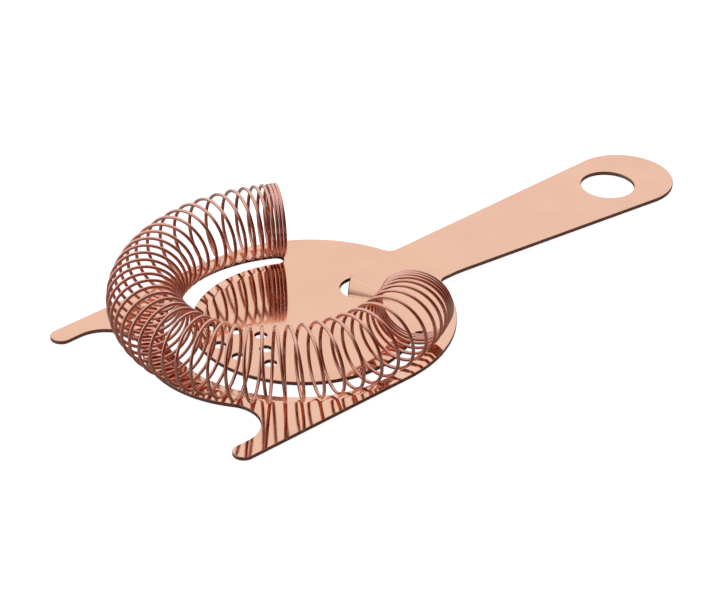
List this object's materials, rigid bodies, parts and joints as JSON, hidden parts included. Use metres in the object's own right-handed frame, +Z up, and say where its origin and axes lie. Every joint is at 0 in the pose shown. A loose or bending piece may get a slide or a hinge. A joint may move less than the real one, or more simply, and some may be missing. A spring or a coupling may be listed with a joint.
{
  "type": "hawthorne strainer",
  "caption": "Round pressed-sheet cocktail strainer with two ears, a dished C-shaped slot, a tapered handle with a hanging hole and a removable coil spring bent into a C.",
  "frame": {"origin": "on the ground under the middle of the whole part's box, 1.9 mm to the left of the plate's line of symmetry; the part lies spring side up on its front lip and its handle's end", "axes": "+Y from the ears to the handle's end, +Z up, away from the table and out of the spring side, +X to the right when looking along +Y"},
  "size_m": [0.092, 0.1938, 0.0242],
  "materials": {
    "copper_sheet": "copper-plated stainless steel sheet, mirror polished",
    "copper_wire": "copper-plated stainless spring wire, bright drawn"
  },
  "bodies": {
    "plate": {"strainer_plate": "copper_sheet"},
    "spring": {"spring": "copper_wire"}
  },
  "joints": [
    {"name": "spring_lift", "type": "slide", "parent": "plate", "child": "spring", "axis": [0, -0.0248, 0.9997], "range_m": [0, 0.04]}
  ]
}
